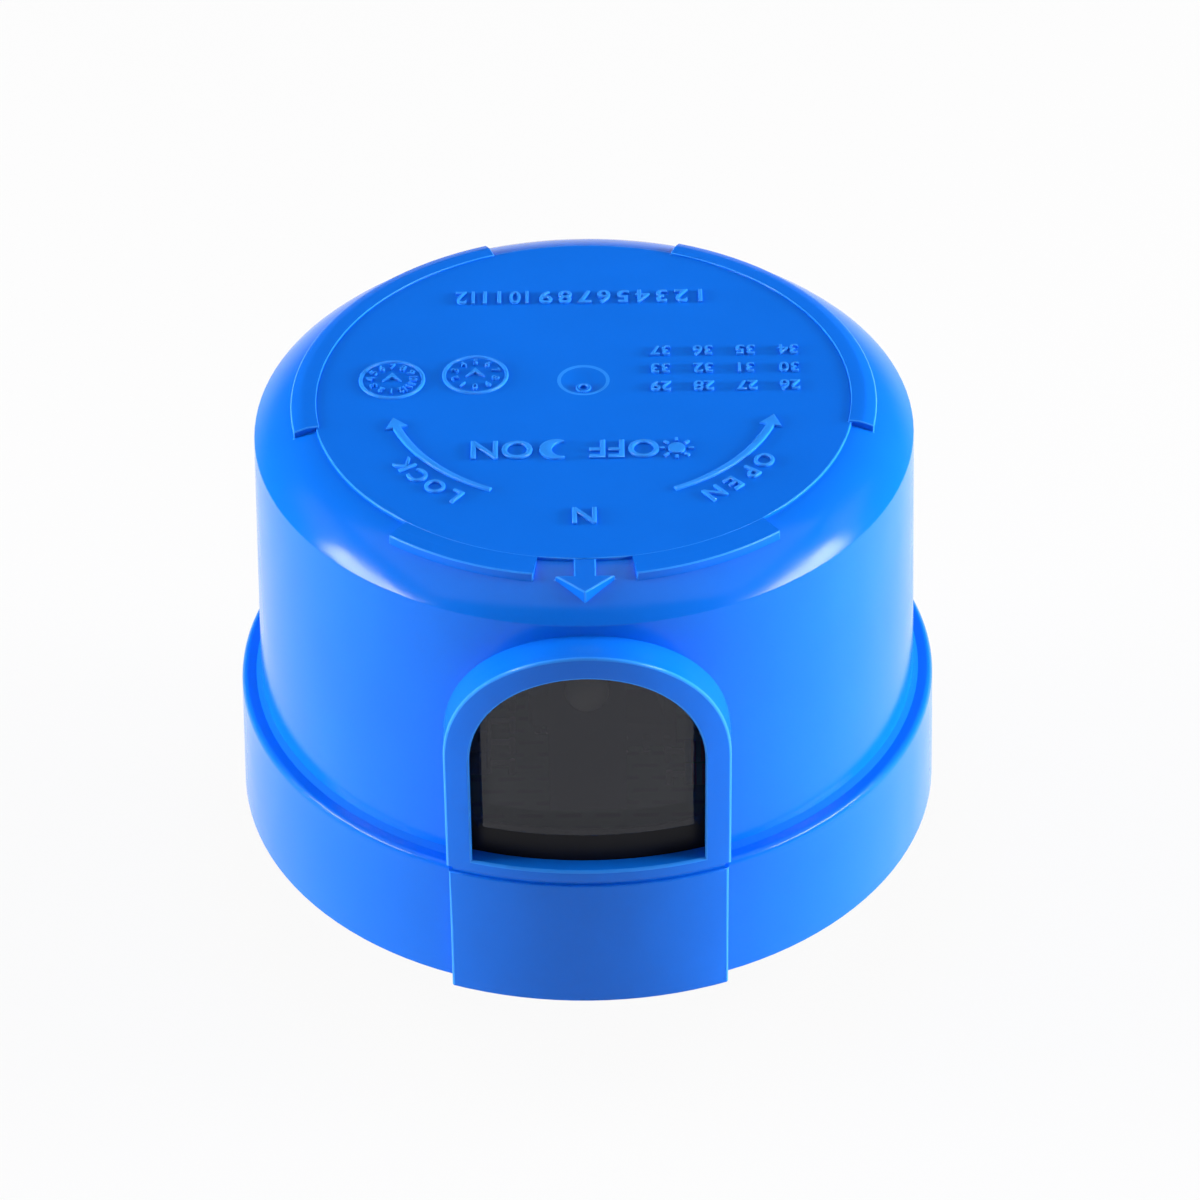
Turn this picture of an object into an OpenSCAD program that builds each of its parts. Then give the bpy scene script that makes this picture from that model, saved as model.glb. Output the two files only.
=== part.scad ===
// Twist-lock photocell switch: a drum-shaped cover with an arched light window, closed from below by a
// base that carries three curved blades, a sealing ring and the control board.
// Frame: +Z up, window towards -Y, origin at the centre of the sealing plane under the gasket.

/* [Cover] */
// Diameter of the skirt band at its rim
band_d = 84; // [82:0.5:90]
// Height of the skirt band
band_h = 16.4; // [15:0.2:18]
// Width of the ledge between the band and the body
ledge_w = 2.3; // [1.8:0.1:3]
// Height of the cover from its rim to the top plate
cover_h = 55; // [53:0.5:62]
// Wall thickness of the cover
wall = 2; // [1.6:0.1:2.4]
// Draft of every upright wall, in degrees
draft = 1.5; // [0.5:0.1:2]
// Drop from the top plate to the lower end of the rounded shoulder
shoulder_drop = 4.1; // [3.4:0.1:5]
// Outward bulge of the shoulder's arc
shoulder_bulge = 0.62; // [0.4:0.02:1]
// Radius on the band's upper edge
band_edge_r = 0.8; // [0.4:0.1:1.2]
// Chamfer in the corner where the body meets the ledge
ledge_chamfer = 0.6; // [0.3:0.1:0.8]

/* [Top plate] */
// Diameter of the raised plate on the roof
plate_d = 62.8; // [58:0.2:64]
// Height of the plate above the shoulder
plate_rise = 0.4; // [0.3:0.05:0.8]
// Radial width of the rim strips and front tabs
pad_w = 2.6; // [1.5:0.1:3]
// Thickness of the strips and tabs over the shoulder
pad_lift = 0.6; // [0.4:0.05:1]
// Height of the two long strips above the plate
strip_rise = 0.22; // [0.1:0.02:0.4]
// Step from the plate down to the two front tabs
tab_step = 0.1; // [0.06:0.02:0.2]
// Front end of each strip, in degrees ahead of the side
strip_front = 11; // [0:1:20]
// Back end of each strip, in degrees behind the side
strip_back = 70; // [40:1:80]
// Half angle of the notch between the front tabs
notch_half = 9.8; // [8:0.2:12]
// Angle covered by each front tab
tab_arc = 29.8; // [20:0.2:35]
// Width of the arrow's stem
stem_w = 2.44; // [1.6:0.04:3.2]
// Width of the arrow's head
head_w = 6.7; // [5:0.1:8]
// Length of the arrow's head
head_l = 2.6; // [2:0.1:3.4]
// Fall of the arrow's flat top from the plate's rim to its tip
arrow_fall = 0.8; // [0.6:0.05:1.1]
// Diameter of the shallow dish at the moulding gate
dish_d = 5.7; // [4:0.1:7]
// Depth of that dish
dish_depth = 0.3; // [0.15:0.05:0.5]

/* [Window hood] */
// How far the hood's face stands out from the band
hood_proud = 1.8; // [1.4:0.1:3]
// Width of the window opening
window_w = 26.5; // [22:0.5:28]
// Width of the frame around the opening
frame_t = 3; // [2.4:0.1:4]
// Gap between the top of the hood and the shoulder
hood_gap = 1.3; // [0.8:0.1:4]
// Height of the window sill above the rim
sill_z = 19.4; // [19:0.2:22]
// Width of the flat front panel under the window
panel_w = 32; // [28:0.2:32]
// Height of the panel above the ledge
panel_over = 0.8; // [0.4:0.1:1.2]
// Height of the groove between the panel and the frame
groove_h = 0.6; // [0.3:0.1:0.8]
// Depth of that groove
groove_d = 0.4; // [0.2:0.05:0.6]
// Thickness of the hood's skin in front of the lens
hood_skin = 2; // [1.4:0.1:2.4]
// Width of the lip that overlaps the lens
lens_lip = 1; // [0.8:0.1:1.4]
// Thickness of the lens flange
lens_t = 1.6; // [1.2:0.1:2]
// Height of the lens's raised pane inside the opening
pane_rise = 0.9; // [0.4:0.1:1.3]
// Margin between the raised pane and the sides of the opening
pane_margin = 1.2; // [0.8:0.1:2]
// Play between the raised pane and the arch over it
pane_clear = 0.2; // [0.1:0.05:0.4]
// Margin between the raised pane and the sill
pane_foot = 3.4; // [1.2:0.1:4]

/* [Base and blades] */
// How far the gasket stands below the cover's rim
gasket_proud = 0.6; // [0.2:0.1:1.2]
// Thickness of the gasket
gasket_t = 4.2; // [3.6:0.2:5]
// Outer diameter of the gasket
gasket_d = 62; // [58:0.5:64]
// Radial width of the gasket
gasket_w = 9; // [7:0.5:9.5]
// Thickness of the base disc
base_t = 3; // [2.4:0.2:4]
// Length of the blades below the sealing plane
blade_reach = 14; // [12:0.5:17]
// Thickness of the blades
blade_t = 1.5; // [1.2:0.1:1.6]
// Diameter of the circle along the middle of the blades
blade_circle_d = 28; // [27:0.25:30]
// Width of the line and load blades, toe included
live_w = 10.5; // [9.5:0.25:11.5]
// Width of the neutral blade, toe included
neutral_w = 12.7; // [12:0.25:14]
// Width of each blade's locking toe
toe_w = 3.2; // [2.4:0.2:3.6]
// Height of the locking toe
toe_h = 6; // [4:0.5:7]
// Clipped corners at the blade tips
tip_clip = 1; // [0.5:0.1:1.5]
// Shank diameter of the blade rivets
rivet_d = 3; // [2.4:0.1:3.4]

/* [Circuit board] */
// Diameter of the circuit board
board_d = 66; // [65:0.5:68]
// Thickness of the circuit board
board_t = 1.6; // [1.2:0.2:2]
// Height of the board's posts above the base
post_h = 6; // [5:0.5:8]
// Diameter of the circle through the board's screws
post_circle_d = 56; // [55:0.5:57]
// Shank diameter of the board screws
screw_d = 2.6; // [2.2:0.1:2.8]
// Diameter of the light sensor's body
sensor_d = 5; // [4:0.1:5.4]

/* [Clearances] */
// Play around the base inside the cover
base_clear = 0.25; // [0.1:0.05:0.5]
// Play around the lens in its seat
lens_clear = 0.1; // [0.05:0.05:0.2]
// Play around each blade in its slot
slot_clear = 0.15; // [0.1:0.05:0.3]
// Play around screws, rivets, leads and tongues in their holes
hole_clear = 0.12; // [0.05:0.01:0.2]

/* [Hidden] */
$fn = 128;

// Overlap that lets pieces of one moulding merge, and overrun of every cut
eps = 0.4;
cut = 1;

// Heights in the part's frame
rim_z = gasket_proud;
land_h = 0.8;
base_bottom = gasket_t + land_h;
base_top = base_bottom + base_t;
hub_z = 2.4;
board_z = base_top + post_h;
board_top = board_z + board_t;

// Cover outline, measured from the rim upward
slope = tan(draft);
band_r = band_d / 2;
plate_r = plate_d / 2;
body_r = band_r - band_h * slope - ledge_w;
crease_z = cover_h - shoulder_drop;
crease_r = body_r - (crease_z - band_h) * slope;
roof_t = 2.4;
seat_z = band_h - wall;
edge_z = band_h - band_edge_r;
edge_x = band_r - edge_z * slope - band_edge_r;

// Circle of the shoulder's arc, through the plate's foot and the crease
plate_foot = [plate_r, cover_h - plate_rise];
crease = [crease_r, crease_z];
shoulder_chord = norm(crease - plate_foot);
shoulder_r = (pow(shoulder_chord / 2, 2) + pow(shoulder_bulge, 2)) / (2 * shoulder_bulge);
chord_normal = [crease.y - plate_foot.y, plate_foot.x - crease.x] / shoulder_chord;
shoulder_c = (plate_foot + crease) / 2 + (shoulder_r - shoulder_bulge) * chord_normal;

// Window hood, measured from the rim upward
hood_r = band_r + hood_proud;
hood_root = 30;
window_half = window_w / 2;
frame_half = window_half + frame_t;
spring_z = crease_z - hood_gap - frame_half;
panel_top = band_h + panel_over;
frame_bottom = panel_top + groove_h;
pane_half = window_half - pane_margin;
cavity_half = window_half + lens_lip;
cavity_z = sill_z - lens_lip;

// Arrow at the front of the roof: root of its stem inside the plate, lap of its head over the tabs' rim
stem_in = 1;
head_over = 0.2;
neck_y = head_over - plate_r - pad_w;
tip_r = head_l - neck_y;
arrow_slope = arrow_fall / (tip_r - plate_r);

// Gate mark, just behind the middle of the plate
dish_y = 3;
dish_floor_d = 2.4;
nub_y = 1.5;
nub_d = 1.8;
nub_rise = 0.1;
nub_hole_d = 0.9;

// Base inside the band: stops above it, snap beads below it
base_in_z = base_top - rim_z;
bead_z = base_bottom - rim_z - hole_clear;
band_in_r = band_r - wall - base_in_z * slope;
base_r = band_in_r - base_clear;
stop_count = 6;
stop_w = 2;
stop_depth = 2;
bead_arc = 12;
bead_reach = 0.9;
bead_h = 1.6;
gasket_r = gasket_d / 2;
gasket_in_r = gasket_r - gasket_w;
lip_w = 1.2;
lip_z = 2.8;
wall_ring_gap = 1.2;
wall_ring_r = body_r - wall - wall_ring_gap;
wall_ring_w = 1.4;
wall_ring_h = 3;

// Blades: each has a foot on the base, a rivet and a tongue up through the board
blade_r = blade_circle_d / 2;
line_angle = 30;
load_angle = 150;
neutral_angle = 270;
blades = [[line_angle, live_w], [load_angle, live_w], [neutral_angle, neutral_w]];
foot_w = 6;
tongue_r = 4.6;
tongue_w = 3;
tongue_top = board_top + 1.6;
rivet_r = 9.6;
rivet_head_d = 5.2;
rivet_head_h = 1.1;
counterbore_d = 6;
counterbore_h = 1.3;

// Board posts and screws
post_d = 6.4;
post_angles = [90, 210, 330];
screw_l = 7;
screw_head_d = 5.4;
screw_head_h = 2;
board_hole_d = 3.2;
cross_l = 3.2;
cross_w = 0.7;
cross_depth = 1.2;

// Components on the board: the place of each, then its sizes and its leads from that place
lead_d = 0.8;
lead_run_d = 0.72;
lead_in = 1;
lead_tail = 1.2;
lift = 0.1;
relay_at = [14, 13.8];
relay_size = [19, 15.4, 15.6];
relay_leads = [[-7.6, -6], [-7.6, 6], [-5.2, 0], [7.6, -6], [7.6, 6]];
film_at = [-14, 16.2];
film_size = [18, 8, 14.5];
film_leads = [[-7.5, 0], [7.5, 0]];
smoothing_at = [-22, 2];
smoothing_d = 10;
smoothing_h = 16;
smoothing_leads = [[0, -2.5], [0, 2.5]];
timing_at = [-13.2, 5.6];
timing_d = 6.3;
timing_h = 11;
timing_leads = [[-1.25, 0], [1.25, 0]];
varistor_at = [24.2, -1.4];
varistor_turn = 90;
varistor_d = 14;
varistor_t = 4.6;
varistor_leads = [[-3.75, 0], [3.75, 0]];
diode_at = [-14, -8.4];
diode_pitch_y = 3.9;
diode_count = 4;
diode_d = 2.7;
diode_l = 5.2;
zener_at = [-14, -4.4];
transistor_at = [-4.6, -12.6];
transistor_d = 4.8;
transistor_h = 4.6;
transistor_leads = [[-1.27, 0], [0, 0], [1.27, 0]];
fuse_at = [13.6, -5.6];
fuse_turn = 90;
fuse_d = 4.4;
fuse_l = 11;
fuse_pitch = 15.2;
bleed_at = [14.6, -18.2];
bleed_pitch_y = 4.2;
bleed_count = 2;
bleed_d = 2.5;
bleed_l = 6.5;
axial_pitch = 10.16;
chip_at = [5.6, -12.4];
chip_size = [9.8, 6.4, 3.4];
chip_pitch = 2.54;
chip_row = 7.62;
chip_pin = [0.8, 0.4];
chip_pins = [for (s = [-1, 1], i = [-1.5 : 1.5]) [i * chip_pitch, s * chip_row / 2]];
holder_at = [0, -24];
holder_size = [9, 6];
holder_over = 4.6;
holder_peg_d = 2;
holder_pegs = [[-3, 0], [3, 0]];
sensor_z = rim_z + (sill_z + spring_z + window_half) / 2 - board_top;
sensor_flange_d = 5.8;
sensor_flange_t = 1;
sensor_nose = 0.8;
sensor_pitch = 2.54;
sensor_lead_back = 1.7;
sensor_bend_y = holder_size.y / 2 + sensor_flange_t + sensor_lead_back;
sensor_leads = [for (s = [-1, 1]) [s * sensor_pitch / 2, sensor_bend_y]];

function axial_leads(pitch) = [[-pitch / 2, 0], [pitch / 2, 0]];
function band_in_at(z) = band_r - wall - z * slope;

// Outline of the cover's outside, band to roof
module cover_outline() {
    polygon([[0, 0], [band_r, 0], [edge_x + band_edge_r, edge_z], [0, edge_z]]);
    translate([0, edge_z]) square([edge_x, band_edge_r]);
    intersection() {
        translate([edge_x, edge_z]) circle(band_edge_r);
        translate([edge_x, edge_z]) square(2 * band_edge_r);
    }
    polygon([[0, band_h - eps], [body_r + ledge_chamfer, band_h - eps], [body_r + ledge_chamfer, band_h],
        [body_r - ledge_chamfer * slope, band_h + ledge_chamfer], [crease_r, crease_z], [0, crease_z]]);
    translate([0, crease_z]) square([plate_r, shoulder_drop - plate_rise]);
    intersection() {
        translate(shoulder_c) circle(shoulder_r);
        translate([plate_r, crease_z]) square(2 * shoulder_chord);
    }
    translate([0, cover_h - plate_rise - eps]) square([plate_r, plate_rise + eps]);
}

// Outline of the hollow inside the cover
module cavity_outline() {
    polygon([[0, -eps], [band_in_at(-eps), -eps], [band_in_at(seat_z), seat_z], [body_r - wall, seat_z],
        [crease_r - wall, crease_z - wall / 2], [plate_r - wall, cover_h - roof_t], [0, cover_h - roof_t]]);
}

// Doorway shape: straight sides and a half-round top
module arch(half, z0) {
    translate([-half, z0]) square([2 * half, spring_z - z0]);
    intersection() {
        translate([0, spring_z]) circle(half);
        translate([-2 * half, spring_z]) square([4 * half, 2 * half]);
    }
}

// Turns an outline in X and Z into a bar that runs out to the front
module to_front() {
    translate([0, -hood_root, 0]) rotate([90, 0, 0]) linear_extrude(hood_r) children();
}

// The hood's drafted face, set back by inset, longer at both ends by over
module hood_cone(inset, over = 0) {
    low = -cut - over;
    high = cover_h + over;
    translate([0, 0, low])
        cylinder(r1 = hood_r - low * slope - inset, r2 = hood_r - high * slope - inset, h = high - low);
}

// Shell between two of those faces
module hood_shell(outer_inset, inner_inset) {
    difference() {
        hood_cone(outer_inset);
        hood_cone(inner_inset, cut);
    }
}

// Front panel, groove and arched frame of the window hood
module hood() {
    intersection() {
        to_front() {
            translate([-panel_w / 2, 0]) square([panel_w, panel_top]);
            arch(frame_half, frame_bottom);
        }
        hood_cone(0);
    }
    intersection() {
        to_front() translate([groove_d - panel_w / 2, panel_top - eps])
            square([panel_w - 2 * groove_d, groove_h + 2 * eps]);
        hood_cone(groove_d);
    }
}

// Raised pad along the plate's rim between two angles
module pad(cap, from, to) {
    rotate([0, 0, from]) rotate_extrude(angle = to - from) intersection() {
        translate(shoulder_c) circle(shoulder_r + pad_lift + max(cap, 0));
        translate([plate_r - eps, crease_z]) square([pad_w + eps, shoulder_drop + cap]);
    }
}

// Strips, tabs and arrow on the roof
module top_relief() {
    pad(strip_rise, -strip_front, strip_back);
    pad(strip_rise, 180 - strip_back, 180 + strip_front);
    pad(-tab_step, 270 - notch_half - tab_arc, 270 - notch_half);
    pad(-tab_step, 270 + notch_half, 270 + notch_half + tab_arc);
    intersection() {
        translate([0, 0, crease_z]) linear_extrude(shoulder_drop) polygon([
            [-stem_w / 2, stem_in - plate_r], [stem_w / 2, stem_in - plate_r], [stem_w / 2, neck_y],
            [head_w / 2, neck_y], [0, neck_y - head_l], [-head_w / 2, neck_y], [-stem_w / 2, neck_y]]);
        translate([0, 0, cover_h - tab_step]) rotate_extrude() polygon([[plate_r - 2 * stem_in, 0],
            [plate_r, 0], [tip_r + stem_in, (plate_r - tip_r - stem_in) * arrow_slope],
            [tip_r + stem_in, -shoulder_drop], [plate_r - 2 * stem_in, -shoulder_drop]]);
    }
}

// Stops that the base rests against, and beads that it snaps over
module base_catches() {
    for (i = [0 : stop_count - 1]) {
        rotate([0, 0, (i + 0.5) * 360 / stop_count])
            translate([band_in_r - stop_depth, -stop_w / 2, base_in_z + hole_clear])
                cube([stop_depth + wall / 2, stop_w, seat_z + eps - base_in_z - hole_clear]);
        rotate([0, 0, i * 360 / stop_count - bead_arc / 2]) rotate_extrude(angle = bead_arc)
            polygon([[band_in_r + wall / 2, bead_z], [band_in_r - bead_reach, bead_z],
                [band_in_r + wall / 2, bead_z - bead_h]]);
    }
}

module cover() {
    color("dodgerblue") translate([0, 0, rim_z]) {
        difference() {
            union() {
                rotate_extrude() cover_outline();
                hood();
                top_relief();
            }
            rotate_extrude() cavity_outline();
            intersection() {
                to_front() arch(cavity_half, cavity_z);
                hood_cone(hood_skin);
            }
            to_front() arch(window_half, sill_z);
            translate([0, dish_y, cover_h - dish_depth])
                cylinder(d1 = dish_floor_d, d2 = dish_d, h = dish_depth);
        }
        base_catches();
        translate([0, nub_y, cover_h - 2 * dish_depth]) difference() {
            cylinder(d = nub_d, h = 2 * dish_depth + nub_rise);
            translate([0, 0, dish_depth]) cylinder(d = nub_hole_d, h = dish_depth + cut);
        }
    }
}

module window_lens() {
    color("dimgray") translate([0, 0, rim_z]) {
        intersection() {
            to_front() arch(cavity_half - lens_clear, cavity_z + lens_clear);
            hood_shell(hood_skin + lens_clear, hood_skin + lens_clear + lens_t);
        }
        intersection() {
            to_front() intersection() {
                arch(window_half - pane_clear, sill_z + pane_foot);
                translate([-pane_half, sill_z]) square([2 * pane_half, spring_z + window_half - sill_z]);
            }
            hood_shell(hood_skin - pane_rise, hood_skin + lens_clear + lens_t / 2);
        }
    }
}

// Turns an outline across one blade, width by height, into a stretch of the blade circle's wall
module rolled(grow = 0) {
    intersection() {
        rotate([90, 0, 90]) linear_extrude(2 * blade_r) children();
        rotate_extrude() translate([blade_r - blade_t / 2 - grow, -2 * blade_reach])
            square([blade_t + 2 * grow, 4 * blade_reach]);
    }
}

module base_plate() {
    through_h = base_top - hub_z + 2 * cut;
    color("#202124") difference() {
        union() {
            translate([0, 0, base_bottom]) cylinder(r = base_r, h = base_t);
            translate([0, 0, hub_z]) cylinder(r = gasket_in_r - base_clear, h = base_bottom - hub_z + eps);
            rotate_extrude() translate([gasket_in_r - base_clear - eps, gasket_t])
                square([gasket_w + 2 * base_clear + 2 * eps, land_h + eps]);
            rotate_extrude() translate([gasket_r + base_clear, lip_z])
                square([lip_w, base_bottom - lip_z + eps]);
            rotate_extrude() translate([wall_ring_r - wall_ring_w, base_top - eps])
                square([wall_ring_w, wall_ring_h + eps]);
            for (a = post_angles) rotate([0, 0, a]) translate([post_circle_d / 2, 0, base_top - eps])
                cylinder(d = post_d, h = post_h + eps);
        }
        for (a = post_angles) rotate([0, 0, a]) translate([post_circle_d / 2, 0, base_top - cut])
            cylinder(d = screw_d + 2 * hole_clear, h = post_h + 2 * cut);
        for (b = blades) rotate([0, 0, b[0]]) {
            rolled(slot_clear) translate([-(b[1] + toe_w) / 2 - slot_clear, hub_z - cut])
                square([b[1] + 2 * slot_clear, through_h]);
            translate([rivet_r, 0, hub_z - cut]) {
                cylinder(d = rivet_d + 2 * hole_clear, h = through_h);
                cylinder(d = counterbore_d, h = counterbore_h + cut);
            }
        }
    }
}

module gasket() {
    color("#3a3a3c") difference() {
        cylinder(r = gasket_r, h = gasket_t);
        translate([0, 0, -cut]) cylinder(r = gasket_in_r, h = gasket_t + 2 * cut);
    }
}

// Flat shape of a blade before it is rolled: a neck, a hooked toe on its clockwise side, clipped corners
module blade_outline(width) {
    neck = (width - toe_w) / 2;
    polygon([[neck, base_top + blade_t], [-neck, base_top + blade_t], [-neck, toe_h - blade_reach],
        [-neck - toe_w, toe_h - blade_reach], [-neck - toe_w, tip_clip - blade_reach],
        [tip_clip - neck - toe_w, -blade_reach], [neck - tip_clip, -blade_reach],
        [neck, tip_clip - blade_reach]]);
}

// Rolled blade with a riveted foot on the base and a solder tongue up through the board
module blade(angle, width) {
    color("goldenrod") rotate([0, 0, angle]) {
        rolled() blade_outline(width);
        difference() {
            translate([tongue_r, -foot_w / 2, base_top]) cube([blade_r - tongue_r, foot_w, blade_t]);
            translate([rivet_r, 0, base_top - cut])
                cylinder(d = rivet_d + 2 * hole_clear, h = blade_t + 2 * cut);
        }
        translate([tongue_r, -tongue_w / 2, base_top]) cube([blade_t, tongue_w, tongue_top - base_top]);
    }
}

module line_blade() {
    blade(line_angle, live_w);
}

module load_blade() {
    blade(load_angle, live_w);
}

module neutral_blade() {
    blade(neutral_angle, neutral_w);
}

module blade_rivets() {
    low = hub_z + counterbore_h;
    high = base_top + blade_t;
    color("silver") for (b = blades) rotate([0, 0, b[0]]) translate([rivet_r, 0, 0]) {
        translate([0, 0, low - rivet_head_h]) cylinder(d = rivet_head_d, h = rivet_head_h);
        translate([0, 0, low - rivet_head_h / 2]) cylinder(d = rivet_d, h = high - low + rivet_head_h);
        translate([0, 0, high]) cylinder(d = rivet_head_d, h = rivet_head_h);
    }
}

// Puts a component on the board's upper face
module on_board(place, turn = 0) {
    translate([place.x, place.y, board_top]) rotate([0, 0, turn]) children();
}

// Drilled holes for a component's leads
module lead_holes(place, leads, turn = 0, d = lead_d) {
    on_board(place, turn) for (p = leads) translate([p.x, p.y, -board_t - cut])
        cylinder(d = d + 2 * hole_clear, h = board_t + 2 * cut);
}

module circuit_board() {
    color("seagreen") difference() {
        translate([0, 0, board_z]) cylinder(d = board_d, h = board_t);
        for (a = post_angles) rotate([0, 0, a]) translate([post_circle_d / 2, 0, board_z - cut])
            cylinder(d = board_hole_d, h = board_t + 2 * cut);
        for (b = blades) rotate([0, 0, b[0]])
            translate([tongue_r - hole_clear, -tongue_w / 2 - hole_clear, board_z - cut])
                cube([blade_t + 2 * hole_clear, tongue_w + 2 * hole_clear, board_t + 2 * cut]);
        lead_holes(relay_at, relay_leads);
        lead_holes(film_at, film_leads);
        lead_holes(smoothing_at, smoothing_leads);
        lead_holes(timing_at, timing_leads);
        lead_holes(varistor_at, varistor_leads, varistor_turn);
        for (i = [0 : diode_count - 1])
            lead_holes(diode_at - [0, i * diode_pitch_y], axial_leads(axial_pitch));
        lead_holes(zener_at, axial_leads(axial_pitch));
        lead_holes(transistor_at, transistor_leads);
        lead_holes(fuse_at, axial_leads(fuse_pitch), fuse_turn);
        for (i = [0 : bleed_count - 1])
            lead_holes(bleed_at - [0, i * bleed_pitch_y], axial_leads(axial_pitch));
        lead_holes(chip_at, chip_pins, d = norm(chip_pin));
        lead_holes(holder_at, holder_pegs, d = holder_peg_d);
        lead_holes(holder_at, sensor_leads);
    }
}

module board_screws() {
    color("lightgray") for (a = post_angles)
        rotate([0, 0, a]) translate([post_circle_d / 2, 0, board_top]) {
            difference() {
                cylinder(d = screw_head_d, h = screw_head_h);
                for (turn = [0, 90]) rotate([0, 0, turn])
                    translate([-cross_l / 2, -cross_w / 2, screw_head_h - cross_depth])
                        cube([cross_l, cross_w, screw_head_h]);
            }
            translate([0, 0, -screw_l]) cylinder(d = screw_d, h = screw_l + eps);
        }
}

// Straight leads from under a component down through the board
module straight_leads(leads, reach = lead_in) {
    for (p = leads) translate([p.x, p.y, -board_t - lead_tail])
        cylinder(d = lead_d, h = board_t + lead_tail + reach);
}

module power_relay() {
    color("#1b1b1f") on_board(relay_at) {
        translate([-relay_size.x / 2, -relay_size.y / 2, lift]) cube(relay_size);
        straight_leads(relay_leads);
    }
}

module film_capacitor() {
    color("#b8352c") on_board(film_at) {
        translate([-film_size.x / 2, -film_size.y / 2, lift]) cube(film_size);
        straight_leads(film_leads);
    }
}

// Electrolytic can with its crimp groove
module can_capacitor(d, h, leads) {
    crimp_z = 2.2;
    crimp_r = 0.4;
    translate([0, 0, lift]) difference() {
        cylinder(d = d, h = h);
        rotate_extrude() translate([d / 2, crimp_z]) circle(crimp_r);
    }
    straight_leads(leads);
}

module smoothing_capacitor() {
    color("#27324f") on_board(smoothing_at) can_capacitor(smoothing_d, smoothing_h, smoothing_leads);
}

module timing_capacitor() {
    color("#27324f") on_board(timing_at) can_capacitor(timing_d, timing_h, timing_leads);
}

module surge_varistor() {
    stand = 1.4;
    disc_z = varistor_d / 2 + stand;
    color("steelblue") on_board(varistor_at, varistor_turn) {
        translate([0, varistor_t / 2, disc_z]) rotate([90, 0, 0]) cylinder(d = varistor_d, h = varistor_t);
        straight_leads(varistor_leads, disc_z);
    }
}

// Round component lying on the board, with its leads bent down
module axial_part(d, l, pitch) {
    translate([-l / 2, 0, d / 2 + lift]) rotate([0, 90, 0]) cylinder(d = d, h = l);
    straight_leads(axial_leads(pitch), d / 2 + lift + lead_d / 2);
    translate([-pitch / 2, 0, d / 2 + lift]) rotate([0, 90, 0]) cylinder(d = lead_run_d, h = pitch);
}

module rectifier_diodes() {
    color("#2a2a2c") for (i = [0 : diode_count - 1])
        on_board(diode_at - [0, i * diode_pitch_y]) axial_part(diode_d, diode_l, axial_pitch);
}

module zener_diode() {
    color("#c8703c") on_board(zener_at) axial_part(diode_d, diode_l, axial_pitch);
}

module fuse_resistor() {
    color("#8d9a7c") on_board(fuse_at, fuse_turn) axial_part(fuse_d, fuse_l, fuse_pitch);
}

module bleed_resistors() {
    color("#6fa3b8") for (i = [0 : bleed_count - 1])
        on_board(bleed_at - [0, i * bleed_pitch_y]) axial_part(bleed_d, bleed_l, axial_pitch);
}

module relay_transistor() {
    stand = 2;
    flat_y = -1.4;
    color("#1f1f22") on_board(transistor_at) {
        translate([0, 0, stand]) difference() {
            cylinder(d = transistor_d, h = transistor_h);
            translate([-transistor_d, flat_y - transistor_d, -cut])
                cube([2 * transistor_d, transistor_d, transistor_h + 2 * cut]);
        }
        straight_leads(transistor_leads, stand + lead_in);
    }
}

module control_chip() {
    leg_z = chip_size.z / 2;
    color("#232327") on_board(chip_at) {
        translate([-chip_size.x / 2, -chip_size.y / 2, lift]) cube(chip_size);
        for (p = chip_pins) translate([p.x - chip_pin.x / 2, 0, 0]) {
            translate([0, p.y - chip_pin.y / 2, -board_t - lead_tail])
                cube([chip_pin.x, chip_pin.y, board_t + lead_tail + leg_z]);
            translate([0, min(p.y - chip_pin.y / 2, 0), leg_z - chip_pin.y])
                cube([chip_pin.x, abs(p.y) + chip_pin.y / 2, chip_pin.y]);
        }
    }
}

module sensor_holder() {
    color("#18181a") on_board(holder_at) {
        difference() {
            translate([-holder_size.x / 2, -holder_size.y / 2, 0])
                cube([holder_size.x, holder_size.y, sensor_z + holder_over]);
            translate([0, holder_size.y, sensor_z]) rotate([90, 0, 0])
                cylinder(d = sensor_d + 2 * hole_clear, h = 2 * holder_size.y);
        }
        for (p = holder_pegs) translate([p.x, p.y, -board_t])
            cylinder(d = holder_peg_d, h = board_t + lead_in);
    }
}

module photo_sensor() {
    back_y = holder_size.y / 2;
    nose_y = -holder_size.y / 2 - sensor_nose;
    dome_set = 0.5;
    color("#e9e4d8") on_board(holder_at) {
        translate([0, back_y + sensor_flange_t, sensor_z]) rotate([90, 0, 0])
            cylinder(d = sensor_flange_d, h = sensor_flange_t);
        translate([0, back_y + sensor_flange_t / 2, sensor_z]) rotate([90, 0, 0])
            cylinder(d = sensor_d, h = back_y + sensor_flange_t / 2 - nose_y);
        intersection() {
            translate([0, nose_y + dome_set, sensor_z]) sphere(d = sensor_d);
            translate([-sensor_d, nose_y - sensor_d, sensor_z - sensor_d])
                cube([2 * sensor_d, sensor_d, 2 * sensor_d]);
        }
        for (p = sensor_leads) {
            translate([p.x, p.y, sensor_z]) rotate([90, 0, 0])
                cylinder(d = lead_run_d, h = p.y - back_y);
            translate([p.x, p.y, -board_t - lead_tail])
                cylinder(d = lead_d, h = sensor_z + board_t + lead_tail + lead_d / 2);
        }
    }
}

cover();
window_lens();
base_plate();
gasket();
line_blade();
load_blade();
neutral_blade();
blade_rivets();
circuit_board();
board_screws();
power_relay();
film_capacitor();
smoothing_capacitor();
timing_capacitor();
surge_varistor();
rectifier_diodes();
zener_diode();
relay_transistor();
fuse_resistor();
bleed_resistors();
control_chip();
sensor_holder();
photo_sensor();
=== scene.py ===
import bpy
import bmesh
import math
from mathutils import Matrix, Vector


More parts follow.
